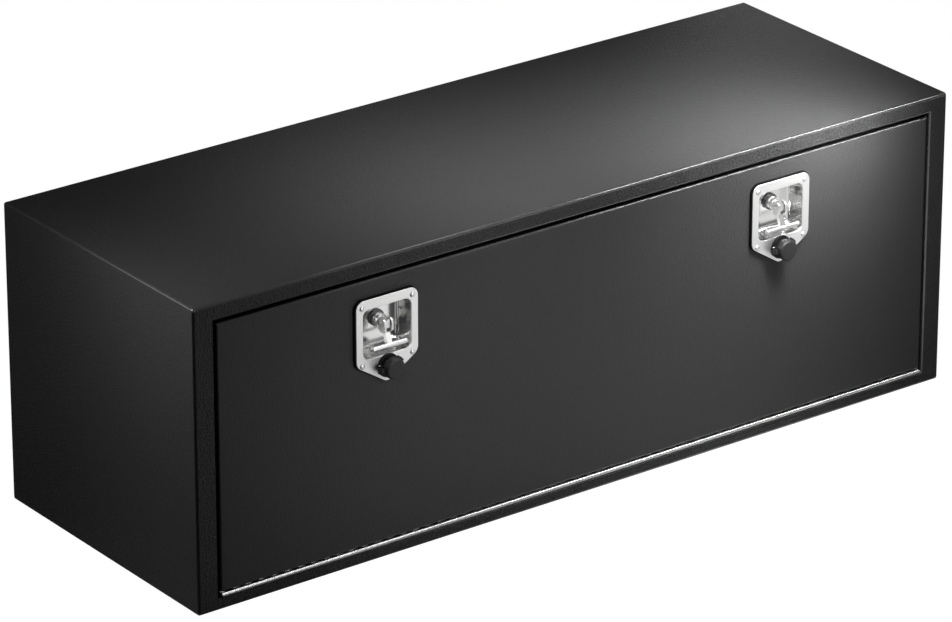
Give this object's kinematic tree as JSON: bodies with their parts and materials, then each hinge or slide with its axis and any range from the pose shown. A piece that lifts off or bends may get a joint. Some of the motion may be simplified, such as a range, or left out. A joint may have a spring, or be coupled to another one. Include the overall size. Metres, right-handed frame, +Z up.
{
  "type": "underbody truck tool box",
  "caption": "Steel box hung under a truck bed: drop-down door on a full-length piano hinge, two recessed folding T-handle latches with capped key locks.",
  "frame": {"origin": "middle of the base, on the face that the box stands on", "axes": "+X along the box to the right as seen from the door, +Y from the door to the back, +Z up"},
  "size_m": [1.219, 0.4579, 0.42],
  "materials": {
    "powder_coat": "black fine-textured powder coat, satin",
    "stainless": "polished and fine-brushed stainless steel",
    "zinc_plate": "bright zinc plate",
    "lock_brass": "machined brass",
    "rubber": "matt black rubber",
    "black_plastic": "satin black moulded plastic"
  },
  "bodies": {
    "cabinet": {"body_wrap": "powder_coat", "left_end_panel": "powder_coat", "right_end_panel": "powder_coat", "front_frame": "powder_coat", "door_seal": "rubber", "hinge_pin": "stainless", "hinge_body_leaf": "stainless"},
    "door": {"door_panel": "powder_coat", "door_stiffener": "powder_coat", "hinge_door_leaf": "stainless", "left_latch_pan": "stainless", "left_latch_gasket": "rubber", "left_latch_rivet_1": "stainless", "left_latch_rivet_2": "stainless", "left_latch_rivet_3": "stainless", "left_latch_rivet_4": "stainless", "left_spindle_bush": "stainless", "left_lock_barrel": "zinc_plate", "left_lock_nut": "zinc_plate", "left_cover_collar": "black_plastic", "left_cover_pin": "stainless", "right_latch_pan": "stainless", "right_latch_gasket": "rubber", "right_latch_rivet_1": "stainless", "right_latch_rivet_2": "stainless", "right_latch_rivet_3": "stainless", "right_latch_rivet_4": "stainless", "right_spindle_bush": "stainless", "right_lock_barrel": "zinc_plate", "right_lock_nut": "zinc_plate", "right_cover_collar": "black_plastic", "right_cover_pin": "stainless"},
    "left_spindle_body": {"left_spindle": "stainless", "left_latch_cam": "zinc_plate", "left_cam_nut": "zinc_plate"},
    "left_handle_body": {"left_t_handle": "stainless", "left_handle_pin": "stainless"},
    "left_lock_body": {"left_lock_plug": "lock_brass", "left_lock_tail": "zinc_plate"},
    "left_cover_body": {"left_lock_cover": "black_plastic"},
    "right_spindle_body": {"right_spindle": "stainless", "right_latch_cam": "zinc_plate", "right_cam_nut": "zinc_plate"},
    "right_handle_body": {"right_t_handle": "stainless", "right_handle_pin": "stainless"},
    "right_lock_body": {"right_lock_plug": "lock_brass", "right_lock_tail": "zinc_plate"},
    "right_cover_body": {"right_lock_cover": "black_plastic"}
  },
  "joints": [
    {"name": "door_hinge", "type": "hinge", "parent": "cabinet", "child": "door", "pos_m": [0, -0.216, 0.0205], "axis": [1, 0, 0], "range_deg": [0, 90]},
    {"name": "left_handle_turn", "type": "hinge", "parent": "door", "child": "left_spindle_body", "pos_m": [-0.32, -0.2216, 0.3283], "axis": [0, -1, 0], "range_deg": [0, 90]},
    {"name": "left_handle_fold", "type": "hinge", "parent": "left_spindle_body", "child": "left_handle_body", "pos_m": [-0.32, -0.2186, 0.3283], "axis": [-1, 0, 0], "range_deg": [0, 90]},
    {"name": "left_lock_turn", "type": "hinge", "parent": "door", "child": "left_lock_body", "pos_m": [-0.32, -0.2216, 0.2713], "axis": [0, -1, 0], "range_deg": [0, 90]},
    {"name": "left_cover_flip", "type": "hinge", "parent": "door", "child": "left_cover_body", "pos_m": [-0.3373, -0.2287, 0.2713], "axis": [0, 0, -1], "range_deg": [0, 110]},
    {"name": "right_handle_turn", "type": "hinge", "parent": "door", "child": "right_spindle_body", "pos_m": [0.32, -0.2216, 0.3283], "axis": [0, -1, 0], "range_deg": [0, 90]},
    {"name": "right_handle_fold", "type": "hinge", "parent": "right_spindle_body", "child": "right_handle_body", "pos_m": [0.32, -0.2186, 0.3283], "axis": [-1, 0, 0], "range_deg": [0, 90]},
    {"name": "right_lock_turn", "type": "hinge", "parent": "door", "child": "right_lock_body", "pos_m": [0.32, -0.2216, 0.2713], "axis": [0, -1, 0], "range_deg": [0, 90]},
    {"name": "right_cover_flip", "type": "hinge", "parent": "door", "child": "right_cover_body", "pos_m": [0.3027, -0.2287, 0.2713], "axis": [0, 0, -1], "range_deg": [0, 110]}
  ]
}
